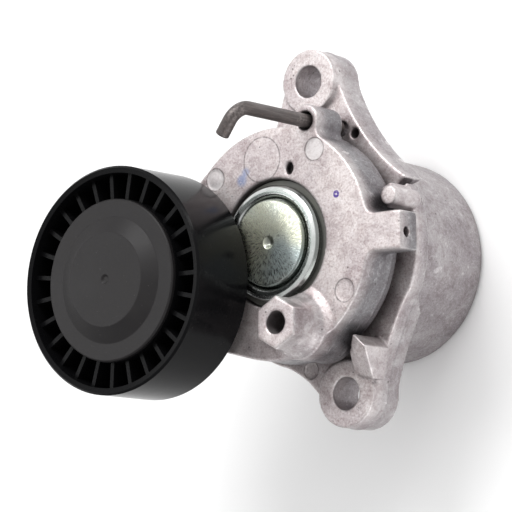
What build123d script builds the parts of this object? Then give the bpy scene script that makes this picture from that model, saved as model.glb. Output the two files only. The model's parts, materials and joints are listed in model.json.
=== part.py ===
from build123d import *
from math import atan2, cos, degrees, hypot, radians, sin
import os

# Belt tensioner idler, in millimetres.
# The origin is the centre of the spring cup's flat rear face, +Z runs along the pivot axis
# towards the pulley, and +X points at the arm's stop finger.

# ---------------------------------------------------------------- levels along the pivot axis
cup_floor_z = 5.0            # inside of the cup's floor
shaft_boss_z = 7.0           # top of the boss that holds the pivot shaft
ear_back_z = 33.0            # mounting face of both ears
web_back_z = 33.5            # back of the webs that carry the ears
flange_back_z = 38.0
flange_front_z = 43.5
ear_front_z = 45.2           # bolt head faces of the ears
shoulder_front_z = 53.0      # shoulder that carries the round stop
stop_front_z = 55.5          # round stop and lower stop block
skirt_back_z = 46.5
lug_back_z = 49.0
finger_back_z = 52.7
arm_face_z = 60.7
head_front_z = 63.0          # face of the pivot shaft's riveted head
wrench_front_z = 72.0
pulley_back_z = 64.0

# ---------------------------------------------------------------- housing
cup_rear_radius = 29.6
cup_front_radius = 30.6
cup_bore_radius = 26.8
neck_radius = 28.2           # thin neck that runs up inside the arm's skirt
neck_front_z = 49.0
flange_radius = 34.5
flange_wide_radius = 37.3    # on the side of the stop finger
wide_start = -23             # degrees about +Z
wide_end = 25
thin_flange_half_height = 15.0
ear_hole_radius = 4.6
upper_ear = (0.85, 48.3)
lower_ear = (13.1, -41.9)
upper_ear_radius = 9.3
lower_ear_radius = 9.7
upper_web_right = [(10.15, 48.6), (18.0, 33.2), (33.8, 17.6)]
upper_web_left = [(-8.3, 49.6), (-14.0, 31.5)]
lower_web_right = [(22.8, -41.5), (28.0, -25.8), (34.8, -13.3)]
lower_web_left = [(3.5, -43.3), (-1.4, -38.0), (-9.5, -33.1)]
shoulder_inner_radius = 34.6
shoulder_outer_radius = 38.3
round_stop = (36.2, 10.6)
round_stop_radius = 2.7
block_corners = [(23.3, -26.6), (27.4, -30.3), (25.6, -39.0), (16.4, -37.0), (17.8, -31.2)]
small_hole = (15.9, 31.8)
small_hole_radius = 1.45
web_ejector_mark = (-0.4, -34.4)
mark_depth = 0.3             # of every ejector mark

# ---------------------------------------------------------------- pivot
shaft_radius = 8.0
shaft_seat_radius = 7.0
head_radius = 12.4
plate_radius = 16.5          # thrust plate under the riveted head
head_back_z = head_front_z - 1.8
plate_back_face_z = 59.0
plate_crest_z = 62.3
running_gap = 0.04
bush_radius = 9.6

# ---------------------------------------------------------------- arm
arm_radius = 33.0
skirt_inner_radius = 29.2
recess_radius = 18.2
recess_floor_z = 57.5
hub_radius = 13.5
hub_back_z = 8.3
finger_end_x = 43.8
finger_half_height = 5.4
finger_hole_radius = 1.4     # small blind hole in the finger's end
lug_centre = (11.4, 33.6)
lug_radius = 4.7
lug_hole_radius = 2.6
wrench_centre = (9.3, -23.9)
wrench_flats = 13.0
wrench_hole_radius = 3.2
wrench_hole_depth = 21.0
wrench_foot_radius = 11.2
wrench_bulge_radius = 9.6    # of the arm's outline round the wrench boss
face_plate_back_z = 55.7
pocket_back_z = 40.0         # wall that keeps the spring from the damping band
abutment_back_z = 50.5
pocket_inner_radius = 22.9
pocket_outer_radius = 24.6
pulley_arm_radius = 14.5     # of the arm's outline behind the pulley
pulley_boss_radius = 11.6    # of the boss that the bearing stands on
ejector_marks = [(14.7, 25.2), (-21.0, 20.3), (24.8, -15.3)]   # shallow discs left by ejector pins
ejector_mark_radius = 3.2
casting_pit = (5.8, 20.8)

# ---------------------------------------------------------------- pulley and its bearing
pulley_centre = (-38.7, -9.4)
pulley_radius = 32.5
pulley_width = 22.0
pulley_front_z = pulley_back_z + pulley_width
rim_thickness = 2.0
rib_count = 27
rib_thickness = 1.25
hub_outer_radius = 23.2
bearing_bore_radius = 8.5
bearing_outer_radius = 20.0
bearing_width = 12.0
bearing_back_z = pulley_back_z + (pulley_width - bearing_width) / 2
bearing_front_z = bearing_back_z + bearing_width
bearing_mid_z = (bearing_back_z + bearing_front_z) / 2
ball_count = 8
ball_radius = 3.37
ball_circle_radius = 14.25
groove_radius = 3.45
inner_land_radius = 12.0
outer_land_radius = 16.5
boss_top_z = 68.2            # face of the arm's boss that clamps the bearing
bolt_radius = 5.0
bolt_end_z = 48.5
bolt_flange_radius = 10.4
bolt_flange_thickness = 1.8
bolt_flats = 15.0
shield_radius = 17.6         # sheet shield behind the bearing
hub_back_face_z = 67.8
hub_front_face_z = pulley_front_z - 1.5
cap_skirt_radius = 21.2
cap_top_z = pulley_front_z + 2.2
rib_back_z = 66.6
rib_front_z = pulley_front_z - 2.6

# ---------------------------------------------------------------- spring, bands and lock pin
wire_radius = 2.2
spring_mean_radius = 20.0
spring_pitch = 5.2
spring_turns = 8.6
spring_back_z = cup_floor_z + wire_radius + 0.3
pin_radius = 1.95
pin_tip_z = 44.2             # the tip ends just above the housing, so that the arm can swing
pin_bend_z = 90.3
pin_leg = 9.4
pin_leg_heading = -126.0     # degrees about +Z
pin_bend_radius = 4.6

os.makedirs("parts", exist_ok=True)


def cos_sin(angle):
    """Unit vector at an angle in degrees from +X."""
    return Vector(cos(radians(angle)), sin(radians(angle)))


def ring_sector(inner, outer, start, end, level):
    """A flat ring sector about the pivot, from start to end degrees, at height level."""
    with BuildSketch(Plane.XY.offset(level)) as sector:
        with BuildLine():
            CenterArc((0, 0), inner, start, end - start)
            CenterArc((0, 0), outer, start, end - start)
            for angle in (start, end):
                Line(inner * cos_sin(angle), outer * cos_sin(angle))
        make_face()
    return sector.sketch


def revolved(points):
    """A solid of revolution about Z, from a closed section of (radius, z) points."""
    with BuildPart() as body:
        with BuildSketch(Plane.XZ):
            with BuildLine():
                Polyline(*points, close=True)
            make_face()
        revolve(axis=Axis.Z)
    return body.part


def ring(inner, outer, back, front):
    """A plain ring about Z, from back to front."""
    return revolved([(inner, back), (outer, back), (outer, front), (inner, front)])


def at_pulley(shape):
    """Move a piece that was built on the Z axis to the pulley's axis."""
    return Pos(pulley_centre[0], pulley_centre[1], 0) * shape


def finish(shape, name):
    """Label one piece and write its own STEP file."""
    shape.label = name
    export_step(shape, f"parts/{name}.step")


# ================================================================ housing
# Outline of the flange: a disc, wider on the finger's side, with a web running out to each ear.
with BuildSketch(Plane.XY.offset(web_back_z)) as flange_outline:
    Circle(flange_radius)
    with Locations(upper_ear):
        Circle(upper_ear_radius)
    with Locations(lower_ear):
        Circle(lower_ear_radius)
    with BuildLine():
        CenterArc((0, 0), flange_wide_radius, wide_start, wide_end - wide_start)
        Line((0, 0), flange_wide_radius * cos_sin(wide_start))
        Line((0, 0), flange_wide_radius * cos_sin(wide_end))
    make_face()
    with BuildLine():
        ThreePointArc(*upper_web_right)
        Line(upper_web_right[2], (0, 0))
        Line((0, 0), upper_web_left[1])
        Line(upper_web_left[1], upper_web_left[0])
        Line(upper_web_left[0], upper_web_right[0])
    make_face()
    with BuildLine():
        ThreePointArc(*lower_web_right)
        Line(lower_web_right[2], (0, 0))
        Line((0, 0), lower_web_left[2])
        ThreePointArc(*lower_web_left)
        Line(lower_web_left[0], lower_web_right[0])
    make_face()

shoulder_sector = ring_sector(shoulder_inner_radius, shoulder_outer_radius, 12.5, 22.5, flange_front_z)
lower_abutment = ring_sector(spring_mean_radius - 2.2, spring_mean_radius + 2.2, 2, 16, cup_floor_z)
cup_wall = revolved([
    (0, 0),
    (cup_rear_radius - 1.6, 0),
    (cup_rear_radius - 0.5, 0.5),
    (cup_rear_radius, 1.6),
    (cup_front_radius, web_back_z),
    (cup_front_radius + 2.0, flange_back_z),
    (cup_front_radius + 2.0, flange_front_z - 0.5),
    (neck_radius, flange_front_z - 0.5),
    (neck_radius, neck_front_z),
    (0, neck_front_z),
])

# Lower stop block, its front sloping down from the stop edge to the ear.
stop_edge_start = Vector(*block_corners[0], stop_front_z)
stop_edge_end = Vector(*block_corners[1], stop_front_z)
slope_foot = Vector(*block_corners[3], ear_front_z)
slope_normal = (slope_foot - stop_edge_start).cross(stop_edge_end - stop_edge_start)
with BuildPart() as stop_block:
    with BuildSketch(Plane.XY.offset(flange_front_z)):
        with BuildLine():
            Polyline(*block_corners, close=True)
        make_face()
    extrude(amount=stop_front_z - flange_front_z)
    split(bisect_by=Plane(stop_edge_start, z_dir=slope_normal), keep=Keep.BOTTOM)

with BuildPart() as housing:
    # The flange as thick as its webs, then thinned across the middle, then the ears.
    extrude(flange_outline.sketch, amount=flange_front_z - web_back_z)
    with BuildSketch(Plane.YZ):
        with BuildLine():
            Polyline(
                (-thin_flange_half_height, flange_back_z),
                (thin_flange_half_height, flange_back_z),
                (thin_flange_half_height + 4.5, web_back_z),
                (-thin_flange_half_height - 4.5, web_back_z),
                close=True,
            )
        make_face()
    extrude(amount=60, both=True, mode=Mode.SUBTRACT)
    with BuildSketch(Plane.XY.offset(ear_back_z)):
        with Locations(upper_ear):
            Circle(upper_ear_radius)
        with Locations(lower_ear):
            Circle(lower_ear_radius)
    extrude(amount=ear_front_z - ear_back_z)
    # Spring cup: a drafted wall with a thin neck, then its hollow, the shaft's boss and the abutment.
    add(cup_wall)
    with BuildSketch(Plane.XY.offset(cup_floor_z)):
        Circle(cup_bore_radius)
    extrude(amount=neck_front_z - cup_floor_z, mode=Mode.SUBTRACT)
    with BuildSketch(Plane.XY.offset(cup_floor_z)):
        Circle(hub_radius)
    extrude(amount=shaft_boss_z - cup_floor_z)
    extrude(lower_abutment, amount=4.5)
    # Shoulder with the round stop on it.
    extrude(shoulder_sector, amount=shoulder_front_z - flange_front_z)
    with BuildSketch(Plane.XY.offset(flange_front_z)):
        with Locations(round_stop):
            Circle(round_stop_radius)
    extrude(amount=stop_front_z - flange_front_z)
    add(stop_block.part)
    # Shaft seat, ear holes, lock hole and the small blind hole beside it.
    with BuildSketch(Plane.XY):
        Circle(shaft_seat_radius)
        with Locations(upper_ear, lower_ear):
            Circle(ear_hole_radius)
        with Locations(lug_centre):
            Circle(pin_radius + 0.15)
    extrude(amount=stop_front_z, mode=Mode.SUBTRACT)
    with BuildSketch(Plane.XY.offset(flange_front_z)):
        with Locations(small_hole):
            Circle(small_hole_radius)
    extrude(amount=-7, mode=Mode.SUBTRACT)
    with BuildSketch(Plane.XY.offset(flange_front_z)):
        with Locations(web_ejector_mark):
            Circle(2.5)
    extrude(amount=-mark_depth, mode=Mode.SUBTRACT)
finish(housing.part, "housing")

# ================================================================ arm
# Outline of the arm: the disc, the bulge under the wrench boss and the way out to the pulley.
with BuildSketch(Plane.XY.offset(skirt_back_z)) as arm_outline:
    Circle(arm_radius)
    with Locations(pulley_centre):
        Circle(pulley_arm_radius)
    make_hull()
    with Locations(wrench_centre):
        Circle(wrench_bulge_radius)

# Stop finger and lock lug, each with its root rounded into the disc.
with BuildSketch(Plane.XY.offset(finger_back_z)) as finger_outline:
    Circle(arm_radius)
    with Locations((finger_end_x / 2, 0)):
        Rectangle(finger_end_x, 2 * finger_half_height)
    roots = finger_outline.vertices().filter_by(
        lambda v: abs(hypot(v.X, v.Y) - arm_radius) < 0.01 and abs(v.Y) > 1
    )
    fillet(roots, 3.2)

with BuildSketch(Plane.XY.offset(lug_back_z)) as lug_outline:
    Circle(arm_radius)
    with Locations((lug_centre[0] / 2, lug_centre[1] / 2)):
        Rectangle(hypot(*lug_centre), 2 * lug_radius, rotation=degrees(atan2(lug_centre[1], lug_centre[0])))
    with Locations(lug_centre):
        Circle(lug_radius)
    roots = lug_outline.vertices().filter_by(
        lambda v: abs(hypot(v.X, v.Y) - arm_radius) < 0.01 and v.Y > 1
    )
    fillet(roots, 3.1)

# Flared foot of the wrench boss, cut off at the arm's own outline.
flare = revolved([
    (0, arm_face_z - 1),
    (wrench_foot_radius, arm_face_z - 1),
    (wrench_foot_radius, arm_face_z),
    (wrench_foot_radius - 2.0, arm_face_z + 1.2),
    (wrench_foot_radius - 3.3, arm_face_z + 3.2),
    (wrench_foot_radius - 4.0, arm_face_z + 6.2),
    (0, arm_face_z + 6.2),
])
flare_at_wrench = Pos(wrench_centre[0], wrench_centre[1], 0) * flare
with BuildPart() as wrench_foot:
    add(flare_at_wrench)
    extrude(arm_outline.sketch, amount=40, mode=Mode.INTERSECT)

# The spring's upper end faces this block, which turns away from it when the arm is let go.
spring_end_angle = 360 - 360 * (spring_turns % 1)
upper_abutment = ring_sector(
    spring_mean_radius - 2.2,
    pocket_inner_radius + 0.3,
    spring_end_angle - 18,
    spring_end_angle - 4.5,
    abutment_back_z,
)

with BuildPart() as arm:
    # Face plate with its skirt, then the finger and the lug.
    extrude(arm_outline.sketch, amount=arm_face_z - skirt_back_z)
    extrude(finger_outline.sketch, amount=arm_face_z - finger_back_z)
    extrude(lug_outline.sketch, amount=arm_face_z - lug_back_z)
    # Hollow behind the face plate.
    with BuildSketch(Plane.XY.offset(skirt_back_z)):
        Circle(skirt_inner_radius)
    extrude(amount=face_plate_back_z - skirt_back_z, mode=Mode.SUBTRACT)
    # Spring pocket wall and the long hub.
    with BuildSketch(Plane.XY.offset(pocket_back_z)):
        Circle(pocket_outer_radius)
        Circle(pocket_inner_radius, mode=Mode.SUBTRACT)
    extrude(amount=face_plate_back_z - pocket_back_z + 1)
    with BuildSketch(Plane.XY.offset(hub_back_z)):
        Circle(hub_radius)
    extrude(amount=face_plate_back_z - hub_back_z + 1)
    extrude(upper_abutment, amount=face_plate_back_z - abutment_back_z)
    # Pulley boss on the front.
    with BuildSketch(Plane.XY.offset(arm_face_z)):
        with Locations(pulley_centre):
            Circle(pulley_boss_radius)
    extrude(amount=boss_top_z - arm_face_z)
    # Wrench boss: a hexagon on a flared foot.
    add(wrench_foot.part)
    with BuildSketch(Plane.XY.offset(arm_face_z)):
        with Locations(wrench_centre):
            RegularPolygon(wrench_flats / 2, 6, major_radius=False, rotation=30)
    extrude(amount=wrench_front_z - arm_face_z)
    # Recess round the pivot head, bore for the bushes, and the three round holes.
    with BuildSketch(Plane.XY.offset(recess_floor_z)):
        Circle(recess_radius)
    extrude(amount=wrench_front_z - recess_floor_z, mode=Mode.SUBTRACT)
    with BuildSketch(Plane.XY.offset(hub_back_z)):
        Circle(bush_radius)
    extrude(amount=arm_face_z - hub_back_z, mode=Mode.SUBTRACT)
    with BuildSketch(Plane.XY.offset(lug_back_z)):
        with Locations(lug_centre):
            Circle(lug_hole_radius)
    extrude(amount=arm_face_z - lug_back_z, mode=Mode.SUBTRACT)
    with BuildSketch(Plane.XY.offset(wrench_front_z)):
        with Locations(wrench_centre):
            Circle(wrench_hole_radius)
    extrude(amount=-wrench_hole_depth, mode=Mode.SUBTRACT)
    with BuildSketch(Plane.XY.offset(bolt_end_z)):
        with Locations(pulley_centre):
            Circle(bolt_radius)
    extrude(amount=boss_top_z - bolt_end_z, mode=Mode.SUBTRACT)
    # Bevelled tip of the finger with a small blind hole in its end, ejector marks and a casting pit.
    with BuildSketch(Plane.XZ):
        with BuildLine():
            Polyline(
                (finger_end_x - 2.4, arm_face_z),
                (finger_end_x, arm_face_z),
                (finger_end_x, arm_face_z - 0.6),
                close=True,
            )
        make_face()
    extrude(amount=finger_half_height, both=True, mode=Mode.SUBTRACT)
    with BuildSketch(Plane((finger_end_x, -0.5, arm_face_z - 3.4), z_dir=(1, 0, 0))):
        Circle(finger_hole_radius)
    extrude(amount=-3, mode=Mode.SUBTRACT)
    with BuildSketch(Plane.XY.offset(arm_face_z)):
        with Locations(*ejector_marks):
            Circle(ejector_mark_radius)
    extrude(amount=-mark_depth, mode=Mode.SUBTRACT)
    with BuildSketch(Plane.XY.offset(arm_face_z)):
        with Locations(casting_pit):
            Ellipse(1.2, 1.75)
    extrude(amount=-2.5, mode=Mode.SUBTRACT)
finish(arm.part, "arm")

# ================================================================ pivot set
pivot_shaft = revolved([
    (0, 0),
    (shaft_seat_radius - 0.6, 0),
    (shaft_seat_radius, 0.6),
    (shaft_seat_radius, shaft_boss_z),
    (shaft_radius, shaft_boss_z),
    (shaft_radius, head_back_z),
    (head_radius - 0.4, head_back_z),
    (head_radius, head_back_z + 0.4),
    (head_radius, head_front_z - 0.5),
    (head_radius - 0.5, head_front_z),
    (1.8, head_front_z),
    (0.5, head_front_z - 1.3),
    (0, head_front_z - 1.3),
])
finish(pivot_shaft, "pivot_shaft")

# The thrust plate's rim is domed and dips towards the riveted head.
thrust_plate = revolved([
    (shaft_radius + running_gap, plate_back_face_z),
    (plate_radius - 0.4, plate_back_face_z),
    (plate_radius, plate_back_face_z + 0.6),
    (plate_radius, plate_crest_z - 1.3),
    (plate_radius - 0.7, plate_crest_z - 0.4),
    (plate_radius - 1.7, plate_crest_z),
    (plate_radius - 2.8, plate_crest_z - 0.1),
    (head_radius + 0.6, plate_crest_z - 0.7),
    (head_radius + 0.3, head_back_z),
    (shaft_radius + running_gap, head_back_z),
])
finish(thrust_plate, "thrust_plate")

friction_washer = ring(shaft_radius + 0.3, recess_radius - 0.25, recess_floor_z, plate_back_face_z - 0.05)
finish(friction_washer, "friction_washer")

lower_thrust_washer = ring(shaft_radius + 0.1, hub_radius - 0.3, shaft_boss_z, hub_back_z - 0.05)
finish(lower_thrust_washer, "lower_thrust_washer")

for name, back, front in (("lower_pivot_bush", 9.0, 27.0), ("upper_pivot_bush", 38.0, 56.5)):
    bush = ring(shaft_radius + running_gap, bush_radius, back, front)
    finish(bush, name)

dust_seal = ring(neck_radius + 0.1, skirt_inner_radius, skirt_back_z + 0.4, skirt_back_z + 1.9)
finish(dust_seal, "dust_seal")

# ================================================================ damping band and torsion spring
band_sector = ring_sector(pocket_outer_radius + 0.05, cup_bore_radius - 0.05, 100, 430, 40.5)
with BuildPart() as damping_band:
    extrude(band_sector, amount=12)
finish(damping_band.part, "damping_band")

with BuildPart() as torsion_spring:
    with BuildLine():
        Helix(
            spring_pitch,
            spring_pitch * spring_turns,
            spring_mean_radius,
            center=(0, 0, spring_back_z),
            lefthand=True,
        )
    with BuildSketch(Plane((spring_mean_radius, 0, spring_back_z), z_dir=(0, 1, 0))):
        Circle(wire_radius)
    sweep(is_frenet=True)
finish(torsion_spring.part, "torsion_spring")

# ================================================================ pulley
with BuildPart() as pulley_on_axis:
    # Rim, hub and the web between them.
    add(revolved([
        (pulley_radius - rim_thickness, pulley_back_z + 0.3),
        (pulley_radius - 0.6, pulley_back_z),
        (pulley_radius, pulley_back_z + 0.6),
        (pulley_radius, pulley_front_z - 0.6),
        (pulley_radius - 0.6, pulley_front_z),
        (pulley_radius - rim_thickness, pulley_front_z - 0.3),
    ]))
    add(revolved([
        (18.6, hub_back_face_z),
        (hub_outer_radius, hub_back_face_z),
        (hub_outer_radius, hub_front_face_z),
        (cap_skirt_radius, hub_front_face_z),
        (cap_skirt_radius, bearing_front_z),
        (bearing_outer_radius, bearing_front_z),
        (bearing_outer_radius, bearing_back_z),
        (18.6, bearing_back_z),
    ]))
    add(ring(hub_outer_radius - 0.5, pulley_radius - rim_thickness + 0.5, 73.0, 76.0))
    # Radial ribs on both sides of the web.
    with BuildSketch(Plane.XY.offset(rib_back_z)):
        with PolarLocations((hub_outer_radius + pulley_radius - rim_thickness) / 2, rib_count):
            Rectangle(pulley_radius - rim_thickness - hub_outer_radius + 1, rib_thickness)
    extrude(amount=rib_front_z - rib_back_z)
finish(at_pulley(pulley_on_axis.part), "pulley")

cap_on_axis = revolved([
    (0, cap_top_z - 1.3),
    (12.6, cap_top_z - 1.3),
    (17.2, pulley_front_z - 1.4),
    (cap_skirt_radius - 1.0, pulley_front_z - 1.4),
    (cap_skirt_radius - 1.0, bearing_front_z + 0.2),
    (cap_skirt_radius, bearing_front_z + 0.2),
    (cap_skirt_radius, hub_front_face_z),
    (hub_outer_radius - 0.1, hub_front_face_z),
    (hub_outer_radius - 0.1, pulley_front_z - 0.4),
    (hub_outer_radius - 0.5, pulley_front_z),
    (18.0, pulley_front_z),
    (13.4, cap_top_z),
    (1.4, cap_top_z),
    (0.9, cap_top_z - 0.5),
    (0, cap_top_z - 0.5),
])
finish(at_pulley(cap_on_axis), "dust_cap")

# ================================================================ pulley bearing
with BuildPart() as inner_ring_on_axis:
    add(ring(bearing_bore_radius, inner_land_radius, bearing_back_z, bearing_front_z))
    with BuildSketch(Plane.XZ):
        with Locations((ball_circle_radius, bearing_mid_z)):
            Circle(groove_radius)
    revolve(axis=Axis.Z, mode=Mode.SUBTRACT)
with BuildPart() as outer_ring_on_axis:
    add(ring(outer_land_radius, bearing_outer_radius, bearing_back_z, bearing_front_z))
    with BuildSketch(Plane.XZ):
        with Locations((ball_circle_radius, bearing_mid_z)):
            Circle(groove_radius)
    revolve(axis=Axis.Z, mode=Mode.SUBTRACT)
finish(at_pulley(inner_ring_on_axis.part), "bearing_inner_ring")
finish(at_pulley(outer_ring_on_axis.part), "bearing_outer_ring")

with BuildPart() as balls_on_axis:
    with Locations(Plane.XY.offset(bearing_mid_z)):
        with PolarLocations(ball_circle_radius, ball_count):
            Sphere(ball_radius)
finish(at_pulley(balls_on_axis.part), "bearing_balls")

with BuildPart() as cage_on_axis:
    add(ring(ball_circle_radius - 0.9, ball_circle_radius + 0.9, bearing_mid_z - 4.2, bearing_mid_z + 4.2))
    with Locations(Plane.XY.offset(bearing_mid_z)):
        with PolarLocations(ball_circle_radius, ball_count):
            Cylinder(ball_radius + 0.2, 6, rotation=(0, 90, 0), mode=Mode.SUBTRACT)
finish(at_pulley(cage_on_axis.part), "ball_cage")

for name, back in (("rear_bearing_seal", bearing_back_z + 0.2), ("front_bearing_seal", bearing_front_z - 1.0)):
    seal = ring(inner_land_radius + 0.1, outer_land_radius, back, back + 0.8)
    finish(at_pulley(seal), name)

shield_on_axis = revolved([
    (bolt_radius + 0.1, boss_top_z),
    (11.9, boss_top_z),
    (12.4, hub_back_face_z - 0.6),
    (shield_radius, hub_back_face_z - 0.6),
    (shield_radius, hub_back_face_z + 0.2),
    (12.9, hub_back_face_z + 0.2),
    (11.9, bearing_back_z),
    (bolt_radius + 0.1, bearing_back_z),
])
finish(at_pulley(shield_on_axis), "rear_dust_shield")

sleeve_on_axis = ring(bolt_radius + 0.1, bearing_bore_radius, bearing_back_z, bearing_front_z)
finish(at_pulley(sleeve_on_axis), "pulley_sleeve")

with BuildPart() as pulley_bolt:
    with BuildSketch(Plane.XY.offset(bolt_end_z + 1)):
        with Locations(pulley_centre):
            Circle(bolt_radius)
    extrude(amount=bearing_front_z - bolt_end_z - 1)
    with BuildSketch(Plane.XY.offset(bearing_front_z)):
        with Locations(pulley_centre):
            Circle(bolt_flange_radius)
    extrude(amount=bolt_flange_thickness)
    with BuildSketch(Plane.XY.offset(bearing_front_z + bolt_flange_thickness)):
        with Locations(pulley_centre):
            RegularPolygon(bolt_flats / 2, 6, major_radius=False)
    extrude(amount=3.6)
finish(pulley_bolt.part, "pulley_bolt")

# ================================================================ lock pin
leg_turn = radians(pin_leg_heading)
with BuildPart() as lock_pin:
    with BuildLine():
        FilletPolyline(
            (lug_centre[0], lug_centre[1], pin_tip_z),
            (lug_centre[0], lug_centre[1], pin_bend_z),
            (
                lug_centre[0] + pin_leg * cos(leg_turn),
                lug_centre[1] + pin_leg * sin(leg_turn),
                pin_bend_z,
            ),
            radius=pin_bend_radius,
        )
    with BuildSketch(Plane((lug_centre[0], lug_centre[1], pin_tip_z))):
        Circle(pin_radius)
    sweep()
    ends = lock_pin.faces().filter_by(GeomType.PLANE)
    chamfer(ends.edges(), 0.3)
finish(lock_pin.part, "lock_pin")
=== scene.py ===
import json
import math

import bmesh
import bpy
import numpy as np
from mathutils import Matrix, Vector


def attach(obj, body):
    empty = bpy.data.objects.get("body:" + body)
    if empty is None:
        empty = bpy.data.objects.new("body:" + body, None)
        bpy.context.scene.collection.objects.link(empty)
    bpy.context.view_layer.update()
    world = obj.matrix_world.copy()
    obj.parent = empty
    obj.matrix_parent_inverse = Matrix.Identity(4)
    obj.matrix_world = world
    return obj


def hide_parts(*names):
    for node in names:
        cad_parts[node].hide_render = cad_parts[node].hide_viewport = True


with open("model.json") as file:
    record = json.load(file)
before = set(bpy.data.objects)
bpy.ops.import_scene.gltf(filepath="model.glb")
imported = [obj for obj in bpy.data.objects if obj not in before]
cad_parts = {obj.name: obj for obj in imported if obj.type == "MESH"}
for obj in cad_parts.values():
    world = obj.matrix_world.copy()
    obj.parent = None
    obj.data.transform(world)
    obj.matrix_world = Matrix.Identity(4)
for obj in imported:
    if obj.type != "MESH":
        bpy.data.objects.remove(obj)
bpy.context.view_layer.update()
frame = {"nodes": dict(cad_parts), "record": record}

scene = bpy.context.scene
record = frame["record"]

# ---------------------------------------------------------------- places on the object, in metres
mount_place = {mount["name"]: mount["pos_m"] for mount in record["mounts"]}
pivot_axis = (0.0, 0.0)
wheel_axis = mount_place["belt_surface"][:2]
upper_ear = mount_place["upper_ear_hole"][:2]
lower_ear = mount_place["lower_ear_hole"][:2]
lug_hole = (0.0114, 0.0336)
small_hole = (0.0159, 0.0318)
arm_face = 0.0607
web_face = 0.0435
ejector_radius = 0.0032

# ---------------------------------------------------------------- how the shapes are finished
voxel_size = 0.00046         # of the remeshed castings
casting_triangles = 190000   # most that a finished casting has
wave_size = 0.006            # of the castings' uneven skin
wave_height = 0.00012
upright_limit = 0.45         # most that an upright wall's normal leans along Z
ear_clearance = 0.0065       # round the ears' holes, where the parting ridge stops
hole_clearance = 0.0030
weld_distance = 0.000002
edge_width = 0.00018         # of the eased edges
pin_edge_width = 0.00012
edge_segments = 3
flat_angle = math.radians(0.5)
edge_angle = math.radians(24.0)
eased_sharp_angle = math.radians(50.0)
inner_sharp_angle = math.radians(35.0)

# ---------------------------------------------------------------- camera
turn, rise, roll = (math.radians(a) for a in (38.85, -7.828, -0.424))
camera_distance = 0.85
aim_height = 0.063
aim_left = 0.003407
aim_down = 0.003753

back = Vector((math.sin(turn) * math.cos(rise), math.sin(rise), math.cos(turn) * math.cos(rise)))
level_right = Vector((math.cos(turn), 0.0, -math.sin(turn)))
level_up = back.cross(level_right)
right = math.cos(roll) * level_right + math.sin(roll) * level_up
up = math.cos(roll) * level_up - math.sin(roll) * level_right
target = Vector((0.0, 0.0, aim_height)) - aim_left * right - aim_down * up
camera_data = bpy.data.cameras.new("camera")
camera_data.lens = 213.78
camera_data.sensor_width = 36.0
camera_data.clip_start = 0.05
camera_data.clip_end = 20.0
camera = bpy.data.objects.new("camera", camera_data)
scene.collection.objects.link(camera)
axes = Matrix((right, up, back)).transposed().to_4x4()
camera.matrix_world = Matrix.Translation(target + camera_distance * back) @ axes
scene.camera = camera


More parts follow.
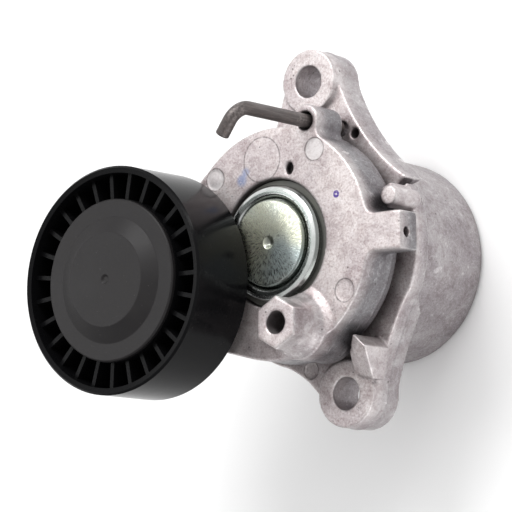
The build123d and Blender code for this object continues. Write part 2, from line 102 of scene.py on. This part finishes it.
# ---------------------------------------------------------------- node helpers
class Shader:
    """A principled material and short calls for the nodes that feed it."""

    # The colour sockets of a Mix node, which share their names with its other sockets.
    mix_under, mix_over, mix_result = 6, 7, 2

    def __init__(self, name):
        self.material = bpy.data.materials.new(name)
        self.material.use_nodes = True
        self.tree = self.material.node_tree
        self.tree.nodes.clear()
        self.bsdf = self.node("BsdfPrincipled")
        self.node("OutputMaterial", {"Surface": self.bsdf.outputs["BSDF"]})
        coordinates = self.node("TexCoord")
        self.place = coordinates.outputs["Object"]
        self.normal = coordinates.outputs["Normal"]

    def node(self, kind, inputs=None, **settings):
        """Add a node, with its settings and with a value or a link for each input given."""
        made = self.tree.nodes.new("ShaderNode" + kind)
        for key, value in settings.items():
            setattr(made, key, value)
        for key, value in (inputs or {}).items():
            self.feed(made.inputs[key], value)
        return made

    def feed(self, socket, value):
        if isinstance(value, bpy.types.NodeSocket):
            self.tree.links.new(value, socket)
        else:
            socket.default_value = value

    def noise(self, scale, detail=4.0, rough=0.55, vector=None, distortion=0.0):
        inputs = {"Vector": vector or self.place, "Scale": scale, "Detail": detail}
        inputs.update({"Roughness": rough, "Distortion": distortion})
        return self.node("TexNoise", inputs).outputs["Fac"]

    def cells(self, scale):
        return self.node("TexVoronoi", {"Vector": self.place, "Scale": scale}).outputs["Distance"]

    def ramp(self, value, low, high, start, end):
        """A smooth step from start, where value is low, to end, where it is high."""
        inputs = {"Value": value, "From Min": low, "From Max": high, "To Min": start, "To Max": end}
        return self.node("MapRange", inputs, interpolation_type="SMOOTHSTEP").outputs["Result"]

    def rise(self, value, low, high, end=1.0):
        return self.ramp(value, low, high, 0.0, end)

    def fall(self, value, low, high, start=1.0):
        return self.ramp(value, low, high, start, 0.0)

    def band(self, value, low, high, soft):
        """1 between low and high, fading to 0 over soft on each side."""
        return self.times(self.rise(value, low - soft, low), self.fall(value, high, high + soft))

    def mix(self, amount, under, over, blend="MIX"):
        inputs = {"Factor": amount, self.mix_under: under, self.mix_over: over}
        return self.node("Mix", inputs, data_type="RGBA", blend_type=blend).outputs[self.mix_result]

    def math(self, operation, a, b):
        return self.node("Math", {0: a, 1: b}, operation=operation).outputs[0]

    def plus(self, a, b):
        return self.math("ADD", a, b)

    def minus(self, a, b):
        return self.math("SUBTRACT", a, b)

    def times(self, a, b):
        return self.math("MULTIPLY", a, b)

    def split(self, vector):
        return self.node("SeparateXYZ", {0: vector}).outputs[:]

    def join(self, x, y):
        return self.node("CombineXYZ", {0: x, 1: y}).outputs[0]

    def stretch(self, scale=(1.0, 1.0, 1.0), offset=(0.0, 0.0, 0.0)):
        inputs = {"Vector": self.place, "Scale": scale, "Location": offset}
        return self.node("Mapping", inputs).outputs["Vector"]

    def polar(self, axis):
        """Angle and radius about an axis along Z, and height."""
        x, y, height = self.split(self.place)
        x = self.minus(x, axis[0])
        y = self.minus(y, axis[1])
        angle = self.math("ARCTAN2", y, x)
        radius = self.math("POWER", self.plus(self.times(x, x), self.times(y, y)), 0.5)
        return angle, radius, height

    def spot(self, point, radius, soft):
        """1 within radius of a point, fading to 0 over soft."""
        away = self.node("VectorMath", {0: self.place, 1: point}, operation="DISTANCE")
        return self.fall(away.outputs["Value"], radius, radius + soft)

    def bump(self, height, strength, distance, under=None):
        """A normal tilted by height, on top of an earlier bump if there is one."""
        inputs = {"Height": height, "Strength": strength, "Distance": distance}
        if under is not None:
            inputs["Normal"] = under
        return self.node("Bump", inputs).outputs["Normal"]

    def surface(self, color, rough, metal, normal=None, specular=None):
        inputs = {"Base Color": color, "Roughness": rough, "Metallic": metal}
        inputs.update({"Normal": normal, "Specular IOR Level": specular})
        for key, value in inputs.items():
            if value is not None:
                self.feed(self.bsdf.inputs[key], value)
        return self.material


def rgb(r, g, b):
    return (r, g, b, 1.0)


# ---------------------------------------------------------------- die-cast aluminium
def oxide(s, base, blotch, cloud):
    """Quiet clouds and blotches of oxide."""
    base = s.mix(s.rise(cloud, 0.38, 0.62, 0.60), base, rgb(0.66, 0.625, 0.65), "MULTIPLY")
    base = s.mix(s.rise(blotch, 0.46, 0.62, 0.55), base, rgb(0.66, 0.60, 0.605), "MULTIPLY")
    return s.mix(s.fall(blotch, 0.30, 0.42, 0.35), base, rgb(0.86, 0.84, 0.85))


def speckle(s, base, facing, grain, fleck):
    """Pinkish and pale grains, strongest on front faces, and dark flecks."""
    strong = s.ramp(facing, 0.0, 1.0, 0.50, 1.0)
    fine = s.noise(3800.0, 3.0, 0.7)
    dark = s.times(s.rise(grain, 0.48, 0.62, 0.58), strong)
    pale = s.times(s.fall(grain, 0.34, 0.45, 0.38), strong)
    base = s.mix(dark, base, rgb(0.60, 0.495, 0.485), "MULTIPLY")
    base = s.mix(pale, base, rgb(0.88, 0.86, 0.87))
    base = s.mix(s.rise(fine, 0.58, 0.70, 0.45), base, rgb(0.42, 0.38, 0.38), "MULTIPLY")
    return s.mix(s.rise(fleck, 0.60, 0.68, 0.55), base, rgb(0.24, 0.22, 0.22))


def daub(s, base, grain, marks):
    """Tinted spots, such as paint marks, broken up by the grain: point, radius, soft edge, tint and amount.
    """
    for point, radius, soft, tint, amount in marks:
        mask = s.times(s.spot(point, radius, soft), s.ramp(grain, 0.36, 0.50, 0.45, 1.0))
        base = s.mix(s.times(mask, amount), base, tint)
    return base


def ejector_discs(s, base, fleck, discs, level):
    """Discs left by ejector pins, paler inside a thin dark line: axis, radius and paleness."""
    for axis, size, paleness in discs:
        _, radius, height = s.polar(axis)
        near = s.rise(height, level - 0.0008, level - 0.0005)
        inside = s.times(s.fall(radius, size - 0.0002, size), near)
        base = s.mix(s.times(inside, paleness), base, rgb(0.80, 0.78, 0.78))
        line = s.times(s.band(radius, size, size + 0.0001, 0.0003), near)
        line = s.times(line, s.ramp(fleck, 0.36, 0.52, 0.25, 0.75))
        base = s.mix(line, base, rgb(0.16, 0.14, 0.14))
    return base


def painted_corner_shade(s, base):
    """Painted shade: inner corners go darker, found by ambient occlusion."""
    corner = s.node("AmbientOcclusion", {"Distance": 0.006}, samples=4)
    shade = s.fall(corner.outputs["AO"], 0.25, 0.95, 0.75)
    return s.mix(shade, base, rgb(0.30, 0.28, 0.29), "MULTIPLY")


def casting(name, front, side, top, marks=(), discs=(), disc_level=0.0):
    """Speckled front faces; smoother side walls in a darker colour that is painted shade and turns paler
    near the top as painted light; bright rubbed edges that are partly wear and partly a painted highlight;
    creases painted dark as painted shade.
    """
    s = Shader(name)
    grain = s.noise(1500.0, 6.0, 0.78)
    fleck = s.noise(700.0, 5.0, 0.72)
    cloud = s.noise(70.0, 4.0, 0.62)
    blotch = s.noise(240.0, 5.0, 0.65, distortion=0.8)
    _, _, height = s.split(s.place)
    _, _, normal_z = s.split(s.normal)
    facing = s.rise(normal_z, 0.35, 0.90)
    # Painted shade and light: side walls take the darker side colour as painted shade, turning paler towards
    # the top as painted light.
    painted_top_light = s.rise(height, top - 0.0060, top - 0.0005, 0.55)
    base = s.mix(s.math("MAXIMUM", facing, painted_top_light), side, front)
    base = oxide(s, base, blotch, cloud)
    base = speckle(s, base, facing, grain, fleck)
    few = s.rise(s.noise(190.0, 1.0, 0.5), 0.56, 0.62)
    pits = s.times(s.fall(s.cells(430.0), 0.08, 0.16), few)
    base = s.mix(s.times(pits, 0.75), base, rgb(0.07, 0.06, 0.06))
    base = daub(s, base, grain, marks)
    base = ejector_discs(s, base, fleck, discs, disc_level)
    curvature = s.node("NewGeometry").outputs["Pointiness"]
    # Painted highlight and wear: convex edges are lightened, broken up by the flecks; the same mask makes
    # them glossier.
    edge = s.times(s.rise(curvature, 0.518, 0.560), s.ramp(fleck, 0.38, 0.56, 0.35, 1.0))
    # Painted shade: concave creases go nearly black.
    painted_crease_shade = s.fall(curvature, 0.430, 0.490)
    base = s.mix(s.times(edge, 0.45), base, rgb(0.80, 0.77, 0.76))
    base = s.mix(s.times(painted_crease_shade, 0.80), base, rgb(0.10, 0.09, 0.09))
    base = painted_corner_shade(s, base)
    rough = s.plus(s.ramp(grain, 0.3, 0.7, 0.34, 0.56), s.times(facing, 0.06))
    rough = s.minus(rough, s.times(edge, 0.14))
    metal = s.ramp(cloud, 0.3, 0.7, 0.72, 0.92)
    skin = s.bump(s.times(grain, s.ramp(facing, 0.0, 1.0, 0.35, 1.0)), 0.38, 0.00016)
    skin = s.bump(blotch, 0.22, 0.0004, skin)
    skin = s.bump(pits, -0.7, 0.0003, skin)
    return s.surface(base, rough, metal, skin)


# ---------------------------------------------------------------- the other materials
def turned(name, color, tint, axis, rough_low, rough_high, bands=()):
    """Bright metal turned on an axis, with fine rings, a soft tint and darker bands.

    A band is an inner and an outer radius, a soft edge, a shade and an amount.
    """
    s = Shader(name)
    angle, radius, height = s.polar(axis)
    rings = s.noise(1.0, 4.0, 0.7, s.join(s.times(radius, 9000.0), s.times(height, 9000.0)))
    streak = s.noise(90.0, 2.0, 0.5, s.join(s.times(angle, 0.4), s.times(radius, 30.0)))
    smear = s.noise(160.0, 3.0, 0.6)
    base = s.mix(s.rise(smear, 0.35, 0.7), color, tint)
    base = s.mix(s.rise(rings, 0.55, 0.8, 0.3), base, rgb(0.30, 0.30, 0.30))
    for low, high, soft, shade, amount in bands:
        base = s.mix(s.times(s.band(radius, low, high, soft), amount), base, shade)
    rough = s.ramp(s.times(s.plus(rings, streak), 0.5), 0.35, 0.65, rough_low, rough_high)
    skin = s.bump(rings, 0.12, 0.00004)
    skin = s.bump(smear, 0.08, 0.0003, skin)
    return s.surface(base, rough, 1.0, skin)


def zinc_head(name):
    """Yellow-green zinc plate with radial marks of the riveting tool, a centre punch and a dark rim."""
    s = Shader(name)
    angle, radius, _ = s.polar(pivot_axis)
    outwards = s.join(s.times(angle, 0.35), s.times(radius, 9.0))
    streak = s.noise(70.0, 4.0, 0.65, outwards)
    fine = s.noise(230.0, 3.0, 0.7, outwards)
    smear = s.noise(120.0, 4.0, 0.6)
    speck = s.noise(1900.0, 4.0, 0.7)
    hue = s.noise(45.0, 2.0, 0.5, s.stretch(offset=(0.013, 0.021, 0.0)))
    riveted = s.rise(radius, 0.0030, 0.0085)
    punched = s.fall(radius, 0.0009, 0.0026, 0.80)
    rim = s.rise(radius, 0.0116, 0.0121, 0.75)
    base = s.mix(s.rise(hue, 0.38, 0.62), rgb(0.80, 0.81, 0.64), rgb(0.66, 0.76, 0.76))
    base = s.mix(s.rise(smear, 0.52, 0.72, 0.35), base, rgb(0.66, 0.56, 0.56))
    base = s.mix(s.times(s.rise(streak, 0.50, 0.72, 0.30), riveted), base, rgb(0.40, 0.46, 0.46))
    base = s.mix(s.times(s.rise(fine, 0.56, 0.66, 0.60), riveted), base, rgb(0.93, 0.94, 0.88))
    base = s.mix(s.rise(speck, 0.58, 0.74, 0.12), base, rgb(0.40, 0.42, 0.40))
    base = s.mix(punched, base, rgb(0.16, 0.17, 0.17))
    base = s.mix(rim, base, rgb(0.10, 0.12, 0.11))
    rough = s.ramp(streak, 0.35, 0.70, 0.22, 0.40)
    skin = s.bump(streak, 0.10, 0.00010)
    skin = s.bump(fine, 0.10, 0.00005, skin)
    return s.surface(base, rough, 1.0, skin)


def moulded(name, color, lift, rough_low, rough_high, grain_scale, grain_depth, shine=0.35):
    """Moulded plastic or rubber with grain, faint flow marks and dust."""
    s = Shader(name)
    grain = s.noise(grain_scale, 4.0, 0.6)
    flow = s.noise(60.0, 3.0, 0.6)
    dust = s.noise(1500.0, 2.0, 0.8)
    base = s.mix(s.rise(flow, 0.35, 0.75), color, lift)
    base = s.mix(s.rise(dust, 0.68, 0.80, 0.22), base, rgb(0.30, 0.29, 0.28))
    rough = s.ramp(s.times(s.plus(grain, flow), 0.5), 0.35, 0.65, rough_low, rough_high)
    skin = s.bump(grain, 0.16, grain_depth)
    skin = s.bump(flow, 0.05, 0.0003, skin)
    return s.surface(base, rough, 0.0, skin, shine)


def belt_pulley(name):
    """Black moulded pulley: polished on the belt face, duller between the ribs."""
    s = Shader(name)
    angle, radius, height = s.polar(wheel_axis)
    grain = s.noise(2600.0, 3.0, 0.6)
    rub = s.noise(1.0, 3.0, 0.6, s.join(s.times(angle, 2.0), s.times(height, 2500.0)))
    dust = s.noise(700.0, 3.0, 0.75)
    outer = s.rise(radius, 0.0318, 0.0323)
    base = s.mix(s.rise(dust, 0.60, 0.78, 0.35), rgb(0.004, 0.004, 0.0045), rgb(0.022, 0.021, 0.020))
    polished = s.ramp(rub, 0.30, 0.70, 0.14, 0.24)
    dull = s.ramp(grain, 0.35, 0.65, 0.26, 0.42)
    rough = s.plus(s.times(polished, outer), s.times(dull, s.minus(1.0, outer)))
    skin = s.bump(grain, 0.05, 0.00004)
    skin = s.bump(rub, 0.03, 0.0001, skin)
    return s.surface(base, rough, 0.0, skin, 0.07)


def drawn_wire(name, color, bright, stretch, scuffs=()):
    """Dark drawn wire with streaks along it, and paler scuffs: point, radius and soft edge."""
    s = Shader(name)
    streak = s.noise(1.0, 4.0, 0.65, s.stretch(stretch))
    speck = s.noise(1300.0, 4.0, 0.7)
    base = s.mix(s.rise(streak, 0.38, 0.72, 0.8), color, bright)
    base = s.mix(s.rise(speck, 0.58, 0.74, 0.5), base, rgb(0.28, 0.20, 0.16))
    for point, radius, soft in scuffs:
        mask = s.times(s.spot(point, radius, soft), s.rise(speck, 0.46, 0.62))
        base = s.mix(s.times(mask, 0.35), base, rgb(0.34, 0.31, 0.30))
    rough = s.ramp(speck, 0.3, 0.7, 0.36, 0.56)
    skin = s.bump(streak, 0.15, 0.0001)
    skin = s.bump(speck, 0.12, 0.00008, skin)
    return s.surface(base, rough, 0.7, skin, 0.3)


# ---------------------------------------------------------------- one material for each slot
violet = rgb(0.09, 0.05, 0.28)
lilac = rgb(0.70, 0.66, 0.70)
blue = rgb(0.16, 0.28, 0.56)
dark_spot = rgb(0.03, 0.028, 0.028)
paint_ring = (0.0223, 0.0117, arm_face)

arm_marks = [
    (paint_ring, 0.0009, 0.0003, violet, 1.0),
    (paint_ring, 0.00022, 0.0002, lilac, 0.9),
    ((-0.0112, 0.0190, arm_face), 0.0008, 0.0016, blue, 0.50),
    ((-0.0098, 0.0212, arm_face), 0.0005, 0.0014, blue, 0.45),
    # A near-black spot sunk 1.7 mm below the arm's face.
    ((0.0058, 0.0208, 0.0590), 0.0011, 0.0007, dark_spot, 0.95),
]
arm_discs = [
    ((0.0147, 0.0252), ejector_radius, 0.55),
    ((-0.0210, 0.0203), ejector_radius, 0.50),
    ((0.0248, -0.0153), ejector_radius, 0.10),
    ((-0.0039, 0.0242), 2 * ejector_radius, 0.08),
]
plate_bands = [
    (0.0124, 0.0130, 0.0003, rgb(0.10, 0.11, 0.10), 0.85),
    (0.0142, 0.0146, 0.0004, rgb(0.26, 0.30, 0.28), 0.75),
    (0.0160, 0.0166, 0.0003, rgb(0.16, 0.17, 0.16), 0.80),
]
pin_scuffs = [
    ((0.0106, 0.0325, 0.0905), 0.0016, 0.0022),
    ((0.0095, 0.0350, 0.0890), 0.0012, 0.0022),
    ((*lug_hole, 0.0640), 0.0016, 0.0030),
]

materials = {
    # Each casting's second colour is its side walls' painted shade, darkest on the arm's skirt.
    "arm_casting": casting(
        "arm_casting", rgb(0.70, 0.648, 0.642), rgb(0.235, 0.230, 0.240), arm_face,
        arm_marks, arm_discs, arm_face),
    "housing_casting": casting(
        "housing_casting", rgb(0.72, 0.67, 0.665), rgb(0.42, 0.395, 0.402), web_face + 0.0010,
        discs=[((-0.0004, -0.0344), 0.0025, 0.08)], disc_level=web_face),
    "zinc_plate": zinc_head("zinc_plate"),
    "bright_steel": turned(
        "bright_steel", rgb(0.78, 0.80, 0.79), rgb(0.62, 0.65, 0.63), pivot_axis, 0.16, 0.28, plate_bands),
    "bearing_steel": turned(
        "bearing_steel", rgb(0.74, 0.75, 0.76), rgb(0.60, 0.61, 0.62), wheel_axis, 0.12, 0.24),
    "zinc_sheet": turned(
        "zinc_sheet", rgb(0.62, 0.64, 0.63), rgb(0.50, 0.52, 0.52), wheel_axis, 0.28, 0.46),
    "ball_steel": turned(
        "ball_steel", rgb(0.82, 0.82, 0.83), rgb(0.74, 0.74, 0.75), wheel_axis, 0.05, 0.10),
    "bearing_plastic": moulded(
        "bearing_plastic", rgb(0.07, 0.07, 0.065), rgb(0.12, 0.115, 0.10), 0.40, 0.60, 1800.0, 0.0001),
    "damping_plastic": moulded(
        "damping_plastic", rgb(0.13, 0.13, 0.12), rgb(0.19, 0.19, 0.17), 0.34, 0.52, 1600.0, 0.0001),
    "seal_rubber": moulded(
        "seal_rubber", rgb(0.015, 0.015, 0.015), rgb(0.030, 0.030, 0.030), 0.55, 0.75, 1500.0, 0.00012),
    "cap_plastic": moulded(
        "cap_plastic", rgb(0.013, 0.0118, 0.0125), rgb(0.018, 0.0165, 0.017), 0.38, 0.50, 2600.0, 0.00006,
        shine=0.22),
    "cage_plastic": moulded(
        "cage_plastic", rgb(0.42, 0.34, 0.20), rgb(0.50, 0.42, 0.27), 0.36, 0.55, 1500.0, 0.0001),
    "pulley_plastic": belt_pulley("pulley_plastic"),
    "spring_steel": drawn_wire(
        "spring_steel", rgb(0.10, 0.10, 0.11), rgb(0.22, 0.22, 0.24), (240.0, 240.0, 2400.0)),
    "black_steel": drawn_wire(
        "black_steel", rgb(0.05, 0.05, 0.05), rgb(0.10, 0.10, 0.10), (900.0, 900.0, 900.0)),
    "pin_steel": drawn_wire(
        "pin_steel", rgb(0.085, 0.074, 0.072), rgb(0.17, 0.15, 0.145), (1500.0, 1500.0, 90.0), pin_scuffs),
}

slot_of = {part["node"]: part["material_slot"] for part in record["subparts"]}
body_of = {node: body for body, nodes in record["behaviour"]["bodies"].items() for node in nodes}


# ---------------------------------------------------------------- geometry helpers
def dress(mesh, material):
    mesh.materials.clear()
    mesh.materials.append(material)
    mesh.polygons.foreach_set("material_index", np.zeros(len(mesh.polygons), np.int32))


def work_copy(node):
    """An object with a CAD node's mesh, its split corners joined, to put modifiers on."""
    mesh = frame["nodes"][node].data.copy()
    work = bmesh.new()
    work.from_mesh(mesh)
    bmesh.ops.remove_doubles(work, verts=work.verts, dist=weld_distance)
    work.to_mesh(mesh)
    work.free()
    rough = bpy.data.objects.new("work_" + node, mesh)
    scene.collection.objects.link(rough)
    return rough


def evaluated(obj):
    """A mesh with the object's modifiers applied."""
    graph = bpy.context.evaluated_depsgraph_get()
    return bpy.data.meshes.new_from_object(obj.evaluated_get(graph))


def restart(rough, mesh):
    """Give a work copy a new mesh and no modifiers."""
    rough.modifiers.clear()
    rough.data = mesh


def show_instead(node, rough, mesh, suffix):
    """Show a finished mesh in place of its CAD node, and drop the work copy."""
    bpy.data.objects.remove(rough)
    piece = bpy.data.objects.new(node + suffix, mesh)
    scene.collection.objects.link(piece)
    dress(mesh, materials[slot_of[node]])
    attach(piece, body_of[node])
    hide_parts(node)


def add_ridge(mesh, parting):
    """Raise a low mould parting ridge round the mesh's upright walls."""
    co = np.zeros(len(mesh.vertices) * 3, np.float32)
    normals = np.zeros(len(mesh.vertices) * 3, np.float32)
    mesh.vertices.foreach_get("co", co)
    mesh.vertex_normals.foreach_get("vector", normals)
    co, normals = co.reshape(-1, 3), normals.reshape(-1, 3)
    level, width, height, keep = parting(co)
    upright = np.abs(normals[:, 2]) < upright_limit
    lift = height * np.exp(-(((co[:, 2] - level) / width) ** 2))
    lift = np.where(upright & keep, lift, 0.0)
    mesh.vertices.foreach_set("co", (co + normals * lift[:, None]).ravel())


def cast(node, parting):
    """A casting: the CAD shape with rounded edges, a slightly wavy skin and a parting ridge."""
    rough = work_copy(node)
    remesh = rough.modifiers.new("remesh", "REMESH")
    remesh.mode = "VOXEL"
    remesh.voxel_size = voxel_size
    remesh.use_smooth_shade = True
    smooth = rough.modifiers.new("smooth", "SMOOTH")
    smooth.factor = 0.5
    smooth.iterations = 3
    waves = bpy.data.textures.new("waves_" + node, "CLOUDS")
    waves.noise_scale = wave_size
    waves.noise_depth = 2
    skin = rough.modifiers.new("skin", "DISPLACE")
    skin.texture = waves
    skin.texture_coords = "LOCAL"
    skin.mid_level = 0.5
    skin.strength = wave_height
    done = evaluated(rough)
    add_ridge(done, parting)
    triangles = sum(len(face.vertices) - 2 for face in done.polygons)
    if triangles > casting_triangles:
        restart(rough, done)
        thin = rough.modifiers.new("thin", "DECIMATE")
        thin.ratio = casting_triangles / triangles
        done = evaluated(rough)
    done.shade_smooth()
    show_instead(node, rough, done, "_cast")


def ease(node, width):
    """A machined or moulded piece: the CAD shape with small eased edges and smooth shading."""
    rough = work_copy(node)
    flat = rough.modifiers.new("flat", "DECIMATE")
    flat.decimate_type = "DISSOLVE"
    flat.angle_limit = flat_angle
    bevel = rough.modifiers.new("bevel", "BEVEL")
    bevel.width = width
    bevel.segments = edge_segments
    bevel.limit_method = "ANGLE"
    bevel.angle_limit = edge_angle
    bevel.use_clamp_overlap = True
    done = evaluated(rough)
    done.shade_smooth()
    done.set_sharp_from_angle(angle=eased_sharp_angle)
    restart(rough, done)
    even = rough.modifiers.new("even", "WEIGHTED_NORMAL")
    even.keep_sharp = True
    even.weight = 80
    show_instead(node, rough, evaluated(rough), "_eased")


# ---------------------------------------------------------------- the castings
def housing_parting(co):
    """Level, width and height of the ridge, and where it runs: outside the arm and clear of every hole."""
    keep = (np.hypot(co[:, 0], co[:, 1]) > 0.0352) & (np.abs(co[:, 1]) > 0.0165)
    for x, y in (upper_ear, lower_ear):
        keep &= np.hypot(co[:, 0] - x, co[:, 1] - y) > ear_clearance
    for x, y in (lug_hole, small_hole):
        keep &= np.hypot(co[:, 0] - x, co[:, 1] - y) > hole_clearance
    return 0.0390, 0.00045, 0.00028, keep


def arm_parting(co):
    """The same for the arm, where the ridge runs only round the lower half of the skirt."""
    keep = (np.hypot(co[:, 0], co[:, 1]) > 0.0322) & (co[:, 1] < 0.0)
    return 0.0490, 0.0004, 0.00018, keep


cast("housing", housing_parting)
cast("arm", arm_parting)

# ---------------------------------------------------------------- everything else keeps its CAD shape
eased_edges = {
    "pulley": edge_width,
    "dust_cap": edge_width,
    "thrust_plate": edge_width,
    "pivot_shaft": edge_width,
    "lock_pin": pin_edge_width,
    "rear_dust_shield": edge_width,
}
for node, width in eased_edges.items():
    ease(node, width)

for node, piece in frame["nodes"].items():
    dress(piece.data, materials[slot_of[node]])
    if node not in ("housing", "arm", *eased_edges):
        piece.data.shade_smooth()
        piece.data.set_sharp_from_angle(angle=inner_sharp_angle)


# ---------------------------------------------------------------- floor, lights and surroundings
def lay_floor(half):
    """A plain pale square floor that reaches half from the origin on each side."""
    shader = Shader("floor")
    shade = shader.rise(shader.noise(9.0, 2.0, 0.5), 0.3, 0.7)
    color = shader.mix(shade, rgb(0.93, 0.93, 0.93), rgb(0.95, 0.95, 0.95))
    mesh = bpy.data.meshes.new("floor")
    corners = [(-half, -half, 0), (half, -half, 0), (half, half, 0), (-half, half, 0)]
    mesh.from_pydata(corners, [], [(0, 1, 2, 3)])
    floor = bpy.data.objects.new("floor", mesh)
    scene.collection.objects.link(floor)
    dress(mesh, shader.surface(color, 0.85, 0.0))


def add_light(name, kind, power, way):
    """A light that shines along way, and its data."""
    data = bpy.data.lights.new(name, kind)
    data.energy = power
    light = bpy.data.objects.new(name, data)
    light.rotation_euler = way.to_track_quat("-Z", "Y").to_euler()
    scene.collection.objects.link(light)
    return light, data


def soft_box(name, location, aim, size, power):
    light, data = add_light(name, "AREA", power, Vector(aim) - Vector(location))
    light.location = location
    data.shape = "RECTANGLE"
    data.size, data.size_y = size


def surround():
    """A pale room, brighter towards +Y than towards -Y."""
    world = bpy.data.worlds.new("world")
    world.use_nodes = True
    nodes = world.node_tree.nodes
    links = world.node_tree.links
    way = nodes.new("ShaderNodeTexCoord")
    parts = nodes.new("ShaderNodeSeparateXYZ")
    strength = nodes.new("ShaderNodeMapRange")
    strength.interpolation_type = "SMOOTHSTEP"
    strength.inputs["From Min"].default_value = -0.9
    strength.inputs["From Max"].default_value = 0.5
    strength.inputs["To Min"].default_value = 0.55
    strength.inputs["To Max"].default_value = 0.92
    links.new(way.outputs["Generated"], parts.inputs[0])
    links.new(parts.outputs["Y"], strength.inputs["Value"])
    links.new(strength.outputs["Result"], nodes["Background"].inputs["Strength"])
    nodes["Background"].inputs["Color"].default_value = rgb(1.0, 1.0, 1.0)
    scene.world = world


lay_floor(3.0)
_, sun = add_light("key", "SUN", 1.25, Vector((0.10, -0.85, -1.0)))
sun.angle = math.radians(30.0)
soft_box("strip", (0.25, 0.65, 0.55), (0.0, 0.0, 0.04), (0.5, 0.12), 2.2)
soft_box("left", (-0.75, 0.10, 0.75), (0.0, 0.0, 0.05), (0.3, 0.5), 1.2)
soft_box("low", (0.62, -0.80, 0.22), (0.02, -0.02, 0.02), (0.9, 0.5), 3.2)
surround()
scene.view_settings.view_transform = "Standard"

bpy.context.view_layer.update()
